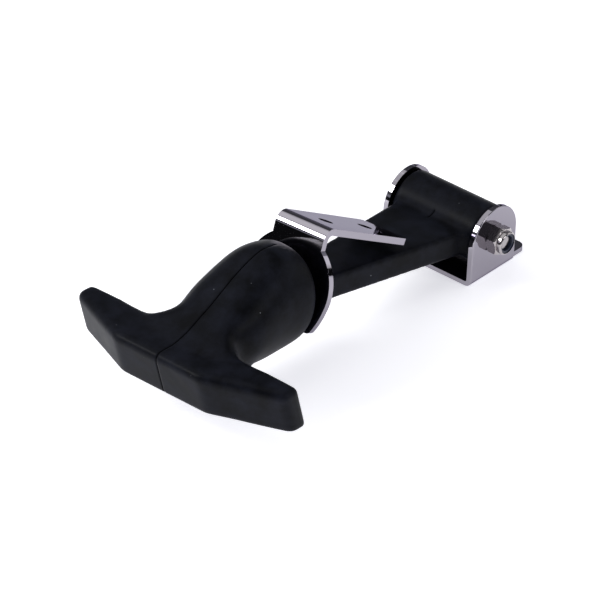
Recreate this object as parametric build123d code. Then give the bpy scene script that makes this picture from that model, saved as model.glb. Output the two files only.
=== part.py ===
"""Rubber T draw latch: moulded T handle on a strap, angle keeper, clevis bracket.

Millimetres. Origin at the centre of the bracket's mounting face, below the pivot.
+X runs along the strap to the T, +Y to the nut side, +Z away from the mounting face.
"""
import os
from math import cos, pi, radians, sin, tan
from build123d import *

# ---- clevis bracket -------------------------------------------------------
SHEET = 2.0
CLEVIS_WIDTH = 42.0
EAR_RADIUS = 12.7
EAR_ROUND_HEIGHT = 15.7
PIVOT_HEIGHT = 16.1
BASE_BEND_OUTER = 2.8
BASE_BEND_INNER = 0.8
TAB_LENGTH = 9.5
TAB_WIDTH = 37.8
TAB_CORNER = 3.0
MOUNT_HOLE = 5.5
MOUNT_HOLE_X = -15.2
MOUNT_HOLE_SPACING = 24.0
BOLT_DIAMETER = 6.0
BOLT_HOLE = 6.1
EAR_EDGE_ROUND = 0.4

# ---- pivot bolt and locking nut -------------------------------------------
HEX_ACROSS_FLATS = 10.0
HEAD_HEIGHT = 4.0
NUT_BODY_HEIGHT = 4.2
NUT_HEIGHT = 6.3
NUT_COLLAR_RADIUS = 4.5
NUT_COLLAR_OPENING = 3.9
INSERT_HEIGHT = 1.5
BOLT_END_BELOW_NUT = 1.4
BOLT_END_CHAMFER = 0.5
HEX_CHAMFER = 0.7
COLLAR_ROUND = 0.8
COLLAR_LIP = 0.5
COLLAR_ROOT = 0.6
NUT_TURN = 40.0

# ---- rubber handle, drawn with its strap level, then raised ----------------
STRAP_RISE = 7.1
STRAP_OFFSET = -1.0
STRAP_THICKNESS = 9.6
STRAP_HALF_AT_EYE = 17.2
STRAP_TAPER = 0.1128
STRAP_EDGE_ROUND = 1.2
EYE_RADIUS = 11.2
EYE_LENGTH = 36.6
EYE_BORE = 6.12
EYE_STRAP_FILLET = 5.0

# Sections of the bulb and neck, from the flat rear face to inside the T:
# distance from the pivot, top, underside, half-width, squareness.
BODY_SECTIONS = (
    (97.8, 17.4, -14.8, 15.4, 2.1),
    (98.3, 18.7, -15.9, 16.7, 2.1),
    (99.4, 19.8, -16.8, 17.5, 2.1),
    (101.5, 20.6, -17.5, 17.8, 2.1),
    (105.0, 21.3, -18.2, 17.7, 2.1),
    (110.0, 21.6, -19.0, 17.4, 2.1),
    (117.0, 19.6, -19.5, 17.3, 2.1),
    (124.0, 16.0, -19.0, 17.3, 2.1),
    (129.5, 12.4, -17.8, 16.8, 2.2),
    (134.0, 9.2, -16.6, 15.6, 2.4),
    (137.5, 6.9, -16.0, 15.2, 2.6),
    (141.0, 4.9, -15.8, 17.0, 2.8),
    (145.0, 2.4, -15.8, 22.0, 3.0),
    (149.5, 0.1, -15.8, 24.0, 2.9),
    (154.0, -1.4, -15.8, 21.0, 2.6),
    (158.0, -2.5, -15.8, 16.0, 2.4),
)
REAR_FACE_TILT = 0.075
TILT_FADES_BY = 110.0
SECTION_POINTS = 28

# T crossbar: plan at mid-height, and its front view.
T_HALF_WIDTH = 48.1
T_LEAN = 24.6
T_TOP_SLOPE = 4.5
T_MID_HEIGHT = -11.5
T_INNER = 139.1
T_OUTER = 160.4
T_FLAT_HALF = 19.3
T_TIP_OUTER = 147.4
T_TOP_CENTRE = -2.1
T_TOP_TIP = -3.0
T_BOTTOM_CENTRE = -20.7
T_BOTTOM_TIP = -20.8
T_TOP_ROUND = 2.4
T_EDGE_ROUND = 1.2
T_NECK_FILLET = 9.0
T_CREASE_ROUND = 7.0
T_TIP_OUTER_ROUND = 4.0
T_TIP_INNER_ROUND = 2.6
T_NECK_END = 137.0
T_NECK_MARGIN = 5.0
T_HALF_HEIGHT_LEAST = 4.0
T_UNDER_EDGES_BELOW = 17.5
NECK_START = 128.0
NECK_HALF_WIDTH = 14.2

# ---- keeper ----------------------------------------------------------------
KEEPER_SHEET = 2.5
KEEPER_BEND_INNER = 2.0
FLANGE_TILT = 28.9
FORK_LEAN = 21.3
KEEPER_CORNER_X = 84.7
KEEPER_CORNER_Z = 37.2
FLANGE_LENGTH = 52.4
FLANGE_HALF_AT_FOLD = 11.1
FLANGE_HALF_AT_END = 10.4
FLANGE_CORNER = 1.0
FLANGE_HOLE = 5.5
FLANGE_HOLE_NEAR = 14.5
FLANGE_HOLE_SPACING = 25.0
FLANGE_CUT_PAST_END = 5.0
FLANGE_CUT_PAST_FOLD = 50.0
FORK_SHOULDER = 8.2
FORK_RADIUS = 18.8
FORK_CENTRE = 24.0
FORK_ARM_MIDDLE = 31.5
FORK_MIDDLE_HALF = 17.5
FORK_ARM_END = 38.5
FORK_TIP_HALF = 14.4
FORK_TIP_ROUND = 2.1
SLOT_HALF_WIDTH = 9.6
SLOT_TOP = 21.6
SLOT_LENGTH = 40.0
FORK_OVERLAP = 0.5
SLOT_ROUND = 4.0
KEEPER_ROLL = 2.5
KEEPER_LIFT = 0.5
KEEPER_ROLL_HEIGHT = 31.0
KEEPER_SHIFT = 0.4


def hexagon(across_flats, height, y0, turn=0.0):
    """A hex prism along +Y from y0, both ends turned to a cone."""
    plane = Plane(origin=(0, y0, PIVOT_HEIGHT), x_dir=(1, 0, 0), z_dir=(0, 1, 0))
    outline = RegularPolygon(across_flats / 2, 6, major_radius=False, rotation=turn)
    blank = extrude(plane * Circle(across_flats / 2 / cos(pi / 6)), height)
    blank = chamfer(blank.edges().filter_by(GeomType.CIRCLE), HEX_CHAMFER)
    return extrude(plane * outline, height) & blank


def disc_y(radius, y0, y1):
    """A cylinder along Y about the pivot axis."""
    plane = Plane(origin=(0, y0, PIVOT_HEIGHT), x_dir=(1, 0, 0), z_dir=(0, 1, 0))
    return extrude(plane * Circle(radius), y1 - y0)


def make_base_bracket():
    """One folded sheet: base plate with a rear tab and two round-topped ears."""
    half = CLEVIS_WIDTH / 2
    ear_top = EAR_ROUND_HEIGHT + EAR_RADIUS
    outer = Rectangle(CLEVIS_WIDTH, ear_top, align=(Align.CENTER, Align.MIN))
    outer = fillet(outer.vertices().group_by(Axis.Y)[0], BASE_BEND_OUTER)
    inner = Pos(0, SHEET) * Rectangle(
        CLEVIS_WIDTH - 2 * SHEET, ear_top, align=(Align.CENTER, Align.MIN)
    )
    inner = fillet(inner.vertices().group_by(Axis.Y)[0], BASE_BEND_INNER)
    across = Plane(origin=(-EAR_RADIUS, 0, 0), x_dir=(0, 1, 0), z_dir=(1, 0, 0))
    clevis = extrude(across * (outer - inner), 2 * EAR_RADIUS)
    side = Plane(origin=(0, -half, 0), x_dir=(1, 0, 0), z_dir=(0, -1, 0))
    ear_outline = Pos(0, EAR_ROUND_HEIGHT / 2) * Rectangle(2 * EAR_RADIUS, EAR_ROUND_HEIGHT)
    ear_outline += Pos(0, EAR_ROUND_HEIGHT) * Circle(EAR_RADIUS)
    clevis &= extrude(side * ear_outline, -CLEVIS_WIDTH)
    tab = Pos(-EAR_RADIUS - TAB_LENGTH, 0, 0) * Box(
        TAB_LENGTH + 2, TAB_WIDTH, SHEET, align=(Align.MIN, Align.CENTER, Align.MIN)
    )
    tab = fillet(tab.edges().filter_by(Axis.Z).group_by(Axis.X)[0], TAB_CORNER)
    bracket = clevis + tab
    outer_rims = [
        e for e in bracket.edges().filter_by(GeomType.CIRCLE)
        if abs(abs(e.center().Y) - half) < 0.01 and e.radius > EAR_RADIUS - 1
    ]
    bracket = fillet(outer_rims, EAR_EDGE_ROUND)
    bracket -= disc_y(BOLT_HOLE / 2, -half - 1, half + 1)
    for y in (-MOUNT_HOLE_SPACING / 2, MOUNT_HOLE_SPACING / 2):
        bracket -= Pos(MOUNT_HOLE_X, y, SHEET / 2) * Cylinder(MOUNT_HOLE / 2, 2 * SHEET)
    return bracket


def make_pivot_bolt():
    """Hex-head bolt through both ears, its head on the -Y ear."""
    half = CLEVIS_WIDTH / 2
    head = hexagon(HEX_ACROSS_FLATS, HEAD_HEIGHT, -half - HEAD_HEIGHT)
    end = half + NUT_HEIGHT - BOLT_END_BELOW_NUT
    shank = disc_y(BOLT_DIAMETER / 2, -half - 0.5, end)
    tip = shank.faces().sort_by(Axis.Y)[-1]
    shank = chamfer(tip.edges(), BOLT_END_CHAMFER)
    return head + shank


def make_lock_nut():
    """Hex nut with a round collar rolled over a plastic locking ring."""
    half = CLEVIS_WIDTH / 2
    body = hexagon(HEX_ACROSS_FLATS, NUT_BODY_HEIGHT, half, NUT_TURN)
    collar = disc_y(NUT_COLLAR_RADIUS, half + NUT_BODY_HEIGHT - COLLAR_ROOT, half + NUT_HEIGHT)
    collar = fillet(collar.faces().sort_by(Axis.Y)[-1].edges(), COLLAR_ROUND)
    nut = body + collar
    seat = half + NUT_HEIGHT - INSERT_HEIGHT - COLLAR_LIP
    nut -= disc_y(NUT_COLLAR_OPENING, seat, half + NUT_HEIGHT + 1)
    nut -= disc_y(BOLT_DIAMETER / 2, half - 1, seat + 1)
    return nut


def make_lock_ring():
    """The plastic ring that grips the bolt's thread."""
    seat = CLEVIS_WIDTH / 2 + NUT_HEIGHT - INSERT_HEIGHT - COLLAR_LIP
    ring = disc_y(NUT_COLLAR_OPENING, seat, seat + INSERT_HEIGHT)
    return ring - disc_y(BOLT_DIAMETER / 2, seat - 1, seat + INSERT_HEIGHT + 1)


def section(u, top, bottom, half_width, squareness):
    """A closed oval across the handle, between an ellipse and a rounded box.

    The bulb's rear face leans back at its top; the lean fades out along the bulb.
    """
    middle = (top + bottom) / 2
    half_height = (top - bottom) / 2
    start = BODY_SECTIONS[0][0]
    tilt = REAR_FACE_TILT * max(0, (TILT_FADES_BY - u) / (TILT_FADES_BY - start))
    points = []
    for k in range(SECTION_POINTS):
        angle = 2 * pi * k / SECTION_POINTS
        c, s = cos(angle), sin(angle)
        y = half_width * abs(c) ** (2 / squareness) * (1 if c >= 0 else -1)
        w = middle + half_height * abs(s) ** (2 / squareness) * (1 if s >= 0 else -1)
        points.append((u - tilt * w, y, w))
    return Face(Wire([Spline(*points, periodic=True)]))


def make_crossbar():
    """The T: swept-back wings with a flat centre, leaning over toward the end."""
    lean = (sin(radians(T_LEAN)), 0, cos(radians(T_LEAN)))
    plan_points = [
        (T_INNER, -T_HALF_WIDTH),
        (T_TIP_OUTER, -T_HALF_WIDTH),
        (T_OUTER, -T_FLAT_HALF),
        (T_OUTER, T_FLAT_HALF),
        (T_TIP_OUTER, T_HALF_WIDTH),
        (T_INNER, T_HALF_WIDTH),
        (T_INNER, NECK_HALF_WIDTH),
        (NECK_START, NECK_HALF_WIDTH),
        (NECK_START, -NECK_HALF_WIDTH),
        (T_INNER, -NECK_HALF_WIDTH),
    ]
    plan = Polygon(*plan_points, align=None)

    def plan_corners(x, y):
        return [v for v in plan.vertices() if abs(v.X - x) < 0.1 and abs(abs(v.Y) - y) < 0.1]

    plan = fillet(plan_corners(T_INNER, NECK_HALF_WIDTH), T_NECK_FILLET)
    plan = fillet(plan_corners(T_OUTER, T_FLAT_HALF), T_CREASE_ROUND)
    plan = fillet(plan_corners(T_TIP_OUTER, T_HALF_WIDTH), T_TIP_OUTER_ROUND)
    plan = fillet(plan_corners(T_INNER, T_HALF_WIDTH), T_TIP_INNER_ROUND)
    reach = 20.0
    start = Plane(
        origin=(-reach * lean[0], 0, T_MID_HEIGHT - reach * lean[2]),
        x_dir=(1, 0, 0),
        z_dir=(0, 0, 1),
    )
    leaning = extrude(start * plan, 2 * reach, dir=lean)
    edge = T_HALF_WIDTH + 1
    crown = ThreePointArc((-edge, T_TOP_TIP), (0, T_TOP_CENTRE), (edge, T_TOP_TIP))
    belly = ThreePointArc((edge, T_BOTTOM_TIP), (0, T_BOTTOM_CENTRE), (-edge, T_BOTTOM_TIP))
    right = Line((edge, T_TOP_TIP), (edge, T_BOTTOM_TIP))
    left = Line((-edge, T_BOTTOM_TIP), (-edge, T_TOP_TIP))
    view = make_face([crown, right, belly, left])
    slope = radians(T_TOP_SLOPE)
    back = 50.0
    across = Plane(
        origin=(T_OUTER - back * cos(slope), 0, back * sin(slope)), x_dir=(0, 1, 0), z_dir=(1, 0, 0)
    )
    front = extrude(across * view, 2 * back, dir=(cos(slope), 0, -sin(slope)))
    bar = leaning & front
    middle = (T_TOP_CENTRE + T_BOTTOM_CENTRE) / 2
    flat = [e for e in bar.edges() if abs(e.center().Z - middle) > T_HALF_HEIGHT_LEAST]
    outer_top = [e for e in flat if e.center().Z > middle and e.center().X > T_NECK_END]
    bar = fillet(outer_top, T_TOP_ROUND)
    under = [e for e in bar.edges() if e.center().Z < middle - T_HALF_HEIGHT_LEAST]
    under = [e for e in under if e.center().X > T_NECK_END - T_NECK_MARGIN]
    under = [e for e in under if abs(e.tangent_at(0.5).Z) < 0.5 and abs(e.center().Z) > T_UNDER_EDGES_BELOW]
    bar = fillet(under, T_EDGE_ROUND)
    return bar


def make_rubber_handle():
    """Eye, tapered strap, bulb, neck and T, moulded in one."""
    # eye about the pivot, then the strap with both concave blends
    upright = Plane(origin=(0, 0, 0), x_dir=(1, 0, 0), z_dir=(0, -1, 0))
    eye = extrude(upright * Circle(EYE_RADIUS), EYE_LENGTH / 2, both=True)
    low = STRAP_OFFSET - STRAP_THICKNESS / 2
    high = STRAP_OFFSET + STRAP_THICKNESS / 2
    strap_end = BODY_SECTIONS[3][0]
    half_start = STRAP_HALF_AT_EYE
    half_end = STRAP_HALF_AT_EYE - STRAP_TAPER * strap_end
    strap_plan = Polygon(
        (0, -half_start), (strap_end, -half_end), (strap_end, half_end), (0, half_start), align=None
    )
    strap = extrude(Plane.XY.offset(low) * strap_plan, STRAP_THICKNESS)
    long_edges = [e for e in strap.edges() if e.length > strap_end * 0.9]
    strap = fillet(long_edges, STRAP_EDGE_ROUND)
    handle = eye + strap
    blends = [e for e in handle.edges().filter_by(Axis.Y) if 5 < e.center().X < EYE_RADIUS + 1]
    handle = fillet(blends, EYE_STRAP_FILLET)
    # bulb and neck
    body = loft([section(*s) for s in BODY_SECTIONS])
    handle += body
    handle += make_crossbar()
    handle -= extrude(upright * Circle(EYE_BORE / 2), EYE_LENGTH, both=True)
    return Pos(0, 0, PIVOT_HEIGHT) * Rot(0, -STRAP_RISE, 0) * handle


def make_keeper_plate():
    """Angle plate: a two-hole flange and a round fork slotted for the strap."""
    corner = Vector(KEEPER_CORNER_X, 0, KEEPER_CORNER_Z + PIVOT_HEIGHT)
    tilt = radians(FLANGE_TILT)
    lean = radians(FORK_LEAN)
    along_flange = Vector(-cos(tilt), 0, -sin(tilt))
    under_flange = Vector(sin(tilt), 0, -cos(tilt))
    along_fork = Vector(sin(lean), 0, -cos(lean))
    behind_fork = Vector(-cos(lean), 0, -sin(lean))
    # side profile of the folded sheet, down to the fork's shoulders
    between = radians(90 - FLANGE_TILT + FORK_LEAN)
    shift = KEEPER_SHEET / tan(between / 2)
    inner = corner + along_fork * shift + behind_fork * KEEPER_SHEET
    flange_end = corner + along_flange * FLANGE_LENGTH
    shoulder = corner + along_fork * (FORK_SHOULDER + FORK_OVERLAP)
    outline = [
        flange_end,
        corner,
        shoulder,
        shoulder + behind_fork * KEEPER_SHEET,
        inner,
        flange_end + under_flange * KEEPER_SHEET,
    ]
    side_plane = Plane(origin=(0, 0, 0), x_dir=(1, 0, 0), z_dir=(0, -1, 0))
    profile = Polygon(*[(p.X, p.Z) for p in outline], align=None)
    strip = extrude(side_plane * profile, FLANGE_HALF_AT_FOLD, both=True)
    for point, radius in ((corner, KEEPER_BEND_INNER + KEEPER_SHEET), (inner, KEEPER_BEND_INNER)):
        fold = strip.edges().filter_by(Axis.Y).sort_by_distance(point)[0]
        strip = fillet(fold, radius)
    taper = Polygon(
        (flange_end.X - FLANGE_CUT_PAST_END, -FLANGE_HALF_AT_END),
        (corner.X, -FLANGE_HALF_AT_FOLD),
        (corner.X + FLANGE_CUT_PAST_FOLD, -FLANGE_HALF_AT_FOLD),
        (corner.X + FLANGE_CUT_PAST_FOLD, FLANGE_HALF_AT_FOLD),
        (corner.X, FLANGE_HALF_AT_FOLD),
        (flange_end.X - FLANGE_CUT_PAST_END, FLANGE_HALF_AT_END),
        align=None,
    )
    strip &= extrude(taper, corner.Z + 20)
    ends = [e for e in strip.edges().sort_by(Axis.X)[:8] if abs(e.tangent_at(0.5).Y) < 0.1]
    short_ends = [e for e in ends if e.length < KEEPER_SHEET * 1.1]
    strip = fillet(short_ends, FLANGE_CORNER)
    # fork: round shoulders, arms drawn in to rounded tips, slot open downward
    fork_plane = Plane(origin=corner, x_dir=(0, 1, 0), z_dir=behind_fork)
    sign = 1 if fork_plane.y_dir.dot(along_fork) > 0 else -1
    root_l, root_r = [(side * FORK_RADIUS, sign * FORK_CENTRE) for side in (-1, 1)]
    mid_l, mid_r = [(side * FORK_MIDDLE_HALF, sign * FORK_ARM_MIDDLE) for side in (-1, 1)]
    tip_l, tip_r = [(side * FORK_TIP_HALF, sign * FORK_ARM_END) for side in (-1, 1)]
    outer_l = ThreePointArc(tip_l, mid_l, root_l)
    outer_r = ThreePointArc(root_r, mid_r, tip_r)
    arms = make_face([Line(root_l, root_r), outer_r, Line(tip_r, tip_l), outer_l])
    slot = Rectangle(2 * SLOT_HALF_WIDTH, SLOT_LENGTH)
    slot = Pos(0, sign * (SLOT_TOP + SLOT_LENGTH / 2)) * slot
    slot = fillet(slot.vertices().sort_by_distance((0, sign * SLOT_TOP, 0))[:2], SLOT_ROUND)
    arms -= slot
    tips = [v for v in arms.vertices() if abs(v.Y) > FORK_ARM_END - 0.1]
    arms = fillet(tips, FORK_TIP_ROUND)
    head = Pos(0, sign * FORK_CENTRE) * Circle(FORK_RADIUS)
    below_shoulder = Rectangle(4 * FORK_RADIUS, 4 * FORK_RADIUS)
    head &= Pos(0, sign * (FORK_SHOULDER + 2 * FORK_RADIUS)) * below_shoulder
    fork = extrude(fork_plane * (head - slot + arms), KEEPER_SHEET)
    keeper = strip + fork
    # two holes on the flange's centreline
    for k in range(2):
        centre = corner + along_flange * (FLANGE_HOLE_NEAR + k * FLANGE_HOLE_SPACING)
        hole_plane = Plane(origin=centre, x_dir=(0, 1, 0), z_dir=under_flange)
        keeper -= extrude(hole_plane * Circle(FLANGE_HOLE / 2), KEEPER_SHEET * 2, both=True)
    # it hangs loose on the strap, rolled a little to one side
    roll_axis = Axis((0, 0, KEEPER_ROLL_HEIGHT), (1, 0, 0))
    return Pos(0, KEEPER_SHIFT, KEEPER_LIFT) * keeper.rotate(roll_axis, KEEPER_ROLL)


parts = {
    "base_bracket": make_base_bracket(),
    "pivot_bolt": make_pivot_bolt(),
    "lock_nut": make_lock_nut(),
    "lock_ring": make_lock_ring(),
    "rubber_handle": make_rubber_handle(),
    "keeper_plate": make_keeper_plate(),
}
os.makedirs("parts", exist_ok=True)
for name, shape in parts.items():
    export_step(shape, f"parts/{name}.step")
    print(name, len(shape.solids()), shape.bounding_box(), round(shape.volume))
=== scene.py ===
import math

import bpy
from mathutils import Matrix, Vector


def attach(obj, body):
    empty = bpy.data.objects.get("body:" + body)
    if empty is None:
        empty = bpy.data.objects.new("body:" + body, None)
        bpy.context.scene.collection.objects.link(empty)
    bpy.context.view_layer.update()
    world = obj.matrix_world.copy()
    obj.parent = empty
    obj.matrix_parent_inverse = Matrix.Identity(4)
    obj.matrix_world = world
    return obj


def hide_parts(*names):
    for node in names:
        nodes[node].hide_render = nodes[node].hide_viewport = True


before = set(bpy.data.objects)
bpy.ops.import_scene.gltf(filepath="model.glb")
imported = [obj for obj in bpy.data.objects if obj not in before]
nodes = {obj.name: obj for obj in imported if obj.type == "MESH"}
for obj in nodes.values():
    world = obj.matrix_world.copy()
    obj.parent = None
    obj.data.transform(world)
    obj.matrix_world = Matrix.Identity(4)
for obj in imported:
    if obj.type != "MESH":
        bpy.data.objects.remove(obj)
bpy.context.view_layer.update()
bpy.ops.object.select_all(action="DESELECT")

# ---- Handle: strap, bulb and T ---------------------------------------------
# One piece of black EPDM rubber, compression moulded in two halves. The mould
# leaves soft corners and a fine parting line down the middle; the handle is
# pulled by its T and stretches by the strap.
MM = 0.001
LINE_HALF = 0.32  # half the width of the parting line's groove, mm
LINE_DEPTH = 0.3
LINE_START = 99  # the groove begins just past the rear face of the bulb
BLEND_MIDDLE = 11  # and shows once more where the strap leaves the eye
NECK_START, NECK_END = 97, 163
GRID = 0.62  # mesh size of the moulding


def linear(hex_colour):
    """An sRGB hex colour as linear RGBA."""
    channels = [int(hex_colour[i:i + 2], 16) / 255 for i in (1, 3, 5)]
    curved = [c / 12.92 if c <= 0.04045 else ((c + 0.055) / 1.055) ** 2.4 for c in channels]
    return curved + [1.0]


def add(tree, kind, links=(), **settings):
    """Adds a node, sets its sockets and properties, and links its inputs."""
    node = tree.nodes.new(kind)
    for name, value in settings.items():
        if name in node.inputs:
            node.inputs[name].default_value = value
        elif name.startswith("in_"):
            node.inputs[int(name[3:])].default_value = value
        else:
            setattr(node, name, value)
    for source, target in links:
        tree.links.new(source, node.inputs[target])
    return node


def new_material(name):
    """An empty node material with its output and Principled shader."""
    material = bpy.data.materials.new(name)
    material.use_nodes = True
    tree = material.node_tree
    tree.nodes.clear()
    output = tree.nodes.new("ShaderNodeOutputMaterial")
    shader = tree.nodes.new("ShaderNodeBsdfPrincipled")
    tree.links.new(shader.outputs["BSDF"], output.inputs["Surface"])
    return material, tree, shader


def tinted(tree, under, colour, amount):
    """Lays one colour over another by a varying amount."""
    mix = add(tree, "ShaderNodeMix", data_type="RGBA")
    tree.links.new(amount, mix.inputs["Factor"])
    tree.links.new(under, mix.inputs[6])
    mix.inputs[7].default_value = linear(colour)
    return mix.outputs[2]


def wear(obj, material):
    """Gives a piece its one material."""
    obj.data.materials.clear()
    obj.data.materials.append(material)


# Moulded EPDM: blue-black, with a soft sheen, a faint cloudy bloom, a fine
# sandy skin from the blasted mould and a few specks of dust.
rubber, tree, shader = new_material("moulded_epdm_rubber")
place = add(tree, "ShaderNodeTexCoord")
bloom = add(tree, "ShaderNodeTexNoise", [(place.outputs["Object"], "Vector")],
            Scale=110.0, Detail=6.0, Roughness=0.65)
tint = add(tree, "ShaderNodeValToRGB", [(bloom.outputs["Fac"], "Fac")])
tint.color_ramp.elements[0].position = 0.36
tint.color_ramp.elements[0].color = linear("#0a0b0f")
tint.color_ramp.elements[1].position = 0.72
tint.color_ramp.elements[1].color = linear("#1b1d26")
# painted shade: the bottom of the parting line's groove is painted a little darker, standing in
# for the shade in the recess, and is made duller
split = add(tree, "ShaderNodeSeparateXYZ", [(place.outputs["Object"], "Vector")])
off_middle = add(tree, "ShaderNodeMath", [(split.outputs["Y"], 0)], operation="ABSOLUTE")
groove = add(tree, "ShaderNodeMapRange", [(off_middle.outputs[0], "Value")],
             interpolation_type="SMOOTHSTEP", in_1=0.12 * MM, in_2=0.36 * MM, in_3=1.0, in_4=0.0)
past_strap = add(tree, "ShaderNodeMapRange", [(split.outputs["X"], "Value")],
                 in_1=(LINE_START - 2) * MM, in_2=(LINE_START + 2) * MM, in_3=0.0, in_4=1.0)
from_blend = add(tree, "ShaderNodeMath", [(split.outputs["X"], 0)],
                 operation="SUBTRACT", in_1=BLEND_MIDDLE * MM)
off_blend = add(tree, "ShaderNodeMath", [(from_blend.outputs[0], 0)], operation="ABSOLUTE")
on_blend = add(tree, "ShaderNodeMapRange", [(off_blend.outputs[0], "Value")],
               in_1=1.8 * MM, in_2=2.6 * MM, in_3=1.0, in_4=0.0)
where = add(tree, "ShaderNodeMath", [(past_strap.outputs[0], 0), (on_blend.outputs[0], 1)],
            operation="MAXIMUM")
line = add(tree, "ShaderNodeMath", [(groove.outputs[0], 0), (where.outputs[0], 1)],
           operation="MULTIPLY")
# the near-black colour here is painted shade along the bottom of the groove
with_painted_groove_shade = tinted(tree, tint.outputs["Color"], "#020203", line.outputs[0])
# dust: sparse pale points, each about 0.4 mm across
dust = add(tree, "ShaderNodeTexVoronoi", [(place.outputs["Object"], "Vector")], Scale=240.0)
speck = add(tree, "ShaderNodeMapRange", [(dust.outputs["Distance"], "Value")],
            in_1=0.03, in_2=0.07, in_3=1.0, in_4=0.0)
keep = add(tree, "ShaderNodeSeparateColor", [(dust.outputs["Color"], "Color")])
few = add(tree, "ShaderNodeMath", [(keep.outputs[0], 0)], operation="GREATER_THAN", in_1=0.84)
dusty = add(tree, "ShaderNodeMath", [(speck.outputs[0], 0), (few.outputs[0], 1)],
            operation="MULTIPLY")
faint = add(tree, "ShaderNodeMath", [(dusty.outputs[0], 0)], operation="MULTIPLY", in_1=0.6)
dusted = tinted(tree, with_painted_groove_shade, "#8d9098", faint.outputs[0])
tree.links.new(dusted, shader.inputs["Base Color"])
# the bloom also varies the gloss, and a fine grain and a slow ripple the surface
rough = add(tree, "ShaderNodeMapRange", [(bloom.outputs["Fac"], "Value")],
            in_1=0.3, in_2=0.7, in_3=0.38, in_4=0.48)
dull = add(tree, "ShaderNodeMath", [(rough.outputs[0], 0), (line.outputs[0], 1)],
           operation="MAXIMUM")
tree.links.new(dull.outputs[0], shader.inputs["Roughness"])
grain = add(tree, "ShaderNodeTexNoise", [(place.outputs["Object"], "Vector")],
            Scale=1500.0, Detail=2.0)
ripple = add(tree, "ShaderNodeTexNoise", [(place.outputs["Object"], "Vector")],
             Scale=110.0, Detail=2.0)
fine = add(tree, "ShaderNodeBump", [(grain.outputs["Fac"], "Height")],
           Strength=0.05, Distance=0.05 * MM)
uneven = add(tree, "ShaderNodeBump",
             [(ripple.outputs["Fac"], "Height"), (fine.outputs["Normal"], "Normal")],
             Strength=0.20, Distance=0.4 * MM)
tree.links.new(uneven.outputs["Normal"], shader.inputs["Normal"])
shader.inputs["IOR"].default_value = 1.52
shader.inputs["Specular IOR Level"].default_value = 0.052


def copy_of(node_name, name):
    """A merged, editable copy of a CAD piece."""
    copy = nodes[node_name].copy()
    copy.data = nodes[node_name].data.copy()
    copy.name = name
    copy.data.name = name
    copy.parent = None
    copy.matrix_world = nodes[node_name].matrix_world
    bpy.context.collection.objects.link(copy)
    bpy.ops.object.select_all(action="DESELECT")
    bpy.context.view_layer.objects.active = copy
    copy.select_set(True)
    bpy.ops.object.transform_apply(location=True, rotation=True, scale=True)
    bpy.ops.object.mode_set(mode="EDIT")
    bpy.ops.mesh.select_all(action="SELECT")
    bpy.ops.mesh.remove_doubles(threshold=0.00001)
    bpy.ops.mesh.tris_convert_to_quads(face_threshold=0.5, shape_threshold=3.1)
    bpy.ops.object.mode_set(mode="OBJECT")
    return copy


def finish_with(obj, kind, **settings):
    """Adds a modifier, sets it and applies it."""
    modifier = obj.modifiers.new(kind.title(), kind)
    for name, value in settings.items():
        setattr(modifier, name, value)
    bpy.ops.object.select_all(action="DESELECT")
    bpy.context.view_layer.objects.active = obj
    obj.select_set(True)
    bpy.ops.object.modifier_apply(modifier=modifier.name)


def share(value):
    """Holds a vertex weight between nothing and all."""
    return min(max(value, 0), 1)


handle = copy_of("rubber_handle", "rubber_handle_moulded")
finish_with(handle, "REMESH", mode="VOXEL", voxel_size=GRID * MM)
# corners are blended gently from the bulb to the T, and strongly where the wings
# leave it and at the root of the neck; places are in mm
blend_zone = handle.vertex_groups.new(name="neck")
corner_zone = handle.vertex_groups.new(name="wing_corner")
for vertex in handle.data.vertices:
    x, y, z = (value / MM for value in vertex.co)
    lengthways = share((x - NECK_START) / 5) * share((NECK_END - x) / 4)
    sideways = share((40 - abs(y)) / 12)
    blend_zone.add([vertex.index], lengthways * sideways, "REPLACE")
    at_wing = (15 - math.hypot(x - 139, abs(y) - 19)) / 9
    at_root = min((11 - math.hypot(x - 129, abs(y) - 14)) / 6, (24 - z) / 4)
    corner_zone.add([vertex.index], share(max(at_wing, at_root)), "REPLACE")
finish_with(handle, "SMOOTH", factor=0.5, iterations=8)
finish_with(handle, "SMOOTH", factor=0.5, iterations=14, vertex_group="neck")
finish_with(handle, "SMOOTH", factor=0.5, iterations=90, vertex_group="wing_corner")
# the parting line is a V groove: three cuts along the middle plane, then sunk
bpy.ops.object.mode_set(mode="EDIT")
for across in (-LINE_HALF, 0.0, LINE_HALF):
    bpy.ops.mesh.select_all(action="SELECT")
    bpy.ops.mesh.bisect(plane_co=(0, across * MM, 0), plane_no=(0, 1, 0), threshold=0.00001)
bpy.ops.object.mode_set(mode="OBJECT")
line_zone = handle.vertex_groups.new(name="parting_line")
for vertex in handle.data.vertices:
    x, y, z = (value / MM for value in vertex.co)
    reach = max((x - LINE_START) / 2, 2.5 - abs(x - BLEND_MIDDLE))
    depth = share(min(1 - abs(y) / LINE_HALF, reach))
    if depth > 0:
        line_zone.add([vertex.index], depth, "REPLACE")
finish_with(handle, "DISPLACE", direction="NORMAL", mid_level=0.0,
            strength=-LINE_DEPTH * MM, vertex_group="parting_line")
bpy.ops.object.shade_smooth()
wear(handle, rubber)
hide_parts("rubber_handle")
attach(handle, "handle")

# ---- Clevis bracket and keeper ----------------------------------------------
# Both are folded from stainless sheet, blanked and then tumble polished, so the
# faces are near mirrors and every edge is slightly rolled.

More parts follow.
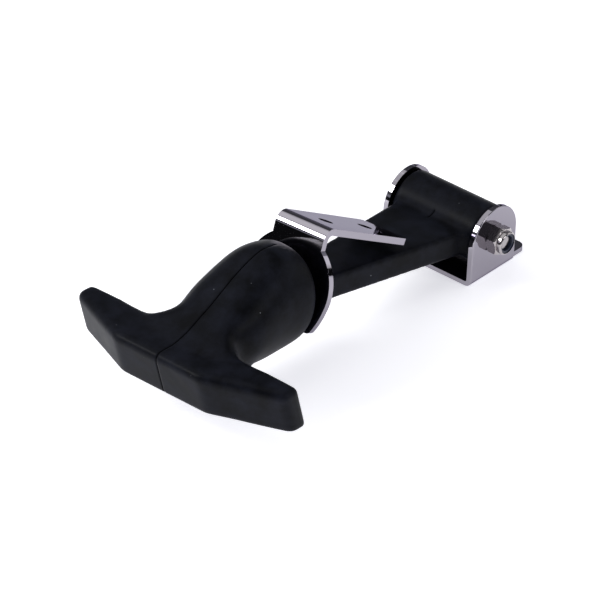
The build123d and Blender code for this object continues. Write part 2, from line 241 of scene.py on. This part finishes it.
# Polished stainless: a grey mirror whose gloss varies in faint rolling streaks.
steel, tree, shader = new_material("polished_stainless_sheet")
place = add(tree, "ShaderNodeTexCoord")
along = add(tree, "ShaderNodeMapping", [(place.outputs["Object"], "Vector")],
            Scale=(60.0, 900.0, 60.0))
streak = add(tree, "ShaderNodeTexNoise", [(along.outputs["Vector"], "Vector")],
             Scale=1.0, Detail=3.0)
shade = add(tree, "ShaderNodeMapRange", [(streak.outputs["Fac"], "Value")],
            in_1=0.3, in_2=0.7, in_3=0.04, in_4=0.06)
tree.links.new(shade.outputs[0], shader.inputs["Roughness"])
shader.inputs["Base Color"].default_value = linear("#a09ca4")
shader.inputs["Specular Tint"].default_value = linear("#9a97a4")
shader.inputs["Metallic"].default_value = 1.0


def rolled_sheet(node_name, name, edge):
    """A sheet piece with its edges rolled by tumbling."""
    piece = copy_of(node_name, name)
    finish_with(piece, "BEVEL", width=edge * MM, segments=3, limit_method="ANGLE",
                angle_limit=math.radians(50))
    bpy.ops.object.shade_smooth_by_angle(angle=math.radians(40))
    finish_with(piece, "WEIGHTED_NORMAL", mode="FACE_AREA_WITH_ANGLE", keep_sharp=True)
    wear(piece, steel)
    return piece


bracket = rolled_sheet("base_bracket", "base_bracket_polished", 0.25)
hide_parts("base_bracket")
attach(bracket, "bracket")
keeper = rolled_sheet("keeper_plate", "keeper_plate_polished", 0.35)
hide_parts("keeper_plate")
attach(keeper, "handle")

# ---- Pivot bolt and locking nut ---------------------------------------------
# A stainless M6 bolt runs through the eye; a nut with a nylon ring in its collar
# holds it without clamping the ears.

# Bright stainless: turned and forged faces, less of a mirror than the sheet.
bright, tree, shader = new_material("bright_stainless_fastener")
shader.inputs["Base Color"].default_value = linear("#aca7a8")
shader.inputs["Metallic"].default_value = 1.0
shader.inputs["Roughness"].default_value = 0.16
# Nylon: dark blue, slightly waxy.
nylon, tree, shader = new_material("blue_nylon_ring")
shader.inputs["Base Color"].default_value = linear("#1a2238")
shader.inputs["Roughness"].default_value = 0.35

for node_name, material, slot_name in (
    ("pivot_bolt", bright, "bolt_steel"),
    ("lock_nut", bright, "bolt_steel"),
    ("lock_ring", nylon, "ring_nylon"),
):
    piece = copy_of(node_name, node_name + "_finished")
    if material is bright:
        finish_with(piece, "BEVEL", width=0.3 * MM, segments=3, limit_method="ANGLE",
                    angle_limit=math.radians(50))
    bpy.ops.object.shade_smooth_by_angle(angle=math.radians(35))
    finish_with(piece, "WEIGHTED_NORMAL", mode="FACE_AREA_WITH_ANGLE", keep_sharp=True)
    wear(piece, material)
    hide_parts(node_name)
    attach(piece, "bracket")

# ---- Floor, light and camera ------------------------------------------------
# A plain pale floor under a soft white surround, and a camera far away on a long
# lens.

# The floor glows softly, a little more past the T, and fades out far in front so
# that the keeper's polished fork has something dark to mirror.
bpy.ops.mesh.primitive_plane_add(size=8, location=(0, 0, 0))
floor = bpy.context.active_object
floor.name = "floor"
pale, tree, shader = new_material("plain_pale_floor")
shader.inputs["Base Color"].default_value = linear("#f4f4f4")
shader.inputs["Roughness"].default_value = 0.9
shader.inputs["Emission Color"].default_value = linear("#f8f8ff")
place = add(tree, "ShaderNodeTexCoord")
split = add(tree, "ShaderNodeSeparateXYZ", [(place.outputs["Object"], "Vector")])
lit = add(tree, "ShaderNodeMapRange", [(split.outputs["X"], "Value")],
          interpolation_type="SMOOTHSTEP", in_1=0.09, in_2=0.16, in_3=0.62, in_4=0.78)
fade = add(tree, "ShaderNodeMapRange", [(split.outputs["X"], "Value")],
           interpolation_type="SMOOTHSTEP", in_1=0.35, in_2=0.7, in_3=1.0, in_4=0.0)
glow = add(tree, "ShaderNodeMath", [(lit.outputs[0], 0), (fade.outputs[0], 1)],
           operation="MULTIPLY")
tree.links.new(glow.outputs[0], shader.inputs["Emission Strength"])
wear(floor, pale)

# The surround is nearly black at the horizon, pale just above it and dim overhead.
world = bpy.data.worlds.new("soft_surround")
bpy.context.scene.world = world
world.use_nodes = True
background = world.node_tree.nodes["Background"]
place = add(world.node_tree, "ShaderNodeTexCoord")
split = add(world.node_tree, "ShaderNodeSeparateXYZ", [(place.outputs["Generated"], "Vector")])
glow = add(world.node_tree, "ShaderNodeValToRGB", [(split.outputs["Z"], "Fac")])
bands = glow.color_ramp
bands.elements[0].position, bands.elements[0].color = 0.14, (0.01, 0.01, 0.01, 1.0)
bands.elements[1].position, bands.elements[1].color = 0.30, (0.12, 0.12, 0.12, 1.0)
for height in (0.18, 0.25):
    bands.elements.new(height).color = (0.5, 0.5, 0.5, 1.0)
world.node_tree.links.new(glow.outputs[0], background.inputs["Strength"])
background.inputs["Color"].default_value = linear("#eef1fb")


def outward(azimuth, elevation):
    """The direction from the latch towards a lamp or the camera, from degrees."""
    a, e = math.radians(azimuth), math.radians(elevation)
    return Vector((math.sin(a) * math.cos(e), -math.cos(a) * math.cos(e), math.sin(e)))


def soft_light(name, azimuth, elevation, distance, size, power):
    """A square softbox aimed at the middle of the latch."""
    target = Vector((0.075, 0.0, 0.02))
    back = outward(azimuth, elevation)
    lamp = bpy.data.lights.new(name, "AREA")
    lamp.shape = "SQUARE"
    lamp.size = size
    lamp.energy = power
    light = bpy.data.objects.new(name, lamp)
    light.location = target + back * distance
    light.rotation_mode = "QUATERNION"
    light.rotation_quaternion = (-back).to_track_quat("-Z", "Y")
    bpy.context.collection.objects.link(light)


soft_light("overhead_softbox", 0, 74, 1.6, 1.8, 8.0)
soft_light("key_softbox", 45, 35, 1.4, 0.45, 11.0)
soft_light("side_softbox", 189, 31, 1.4, 0.5, 4.0)
soft_light("left_fill", 358, 40, 1.6, 1.0, 1.1)
soft_light("rear_fill", 242, 25, 1.6, 1.0, 3.0)

CAMERA_PLACE = (1.4811, 1.1175, 1.1792)
CAMERA_AZIMUTH, CAMERA_ELEVATION = 128.67, 32.96
roll = math.radians(2.73)
back = outward(CAMERA_AZIMUTH, CAMERA_ELEVATION)
level = outward(CAMERA_AZIMUTH + 90, 0)
upright = back.cross(level)
right = level * math.cos(roll) + upright * math.sin(roll)
up = upright * math.cos(roll) - level * math.sin(roll)
lens = bpy.data.cameras.new("camera")
lens.sensor_width = 36.0
lens.lens = 360.8
lens.clip_end = 50.0
camera = bpy.data.objects.new("camera", lens)
bpy.context.collection.objects.link(camera)
camera.matrix_world = Matrix.Translation(CAMERA_PLACE) @ Matrix(
    (right, up, back)).transposed().to_4x4()
bpy.context.scene.camera = camera
bpy.context.scene.view_settings.view_transform = "Standard"
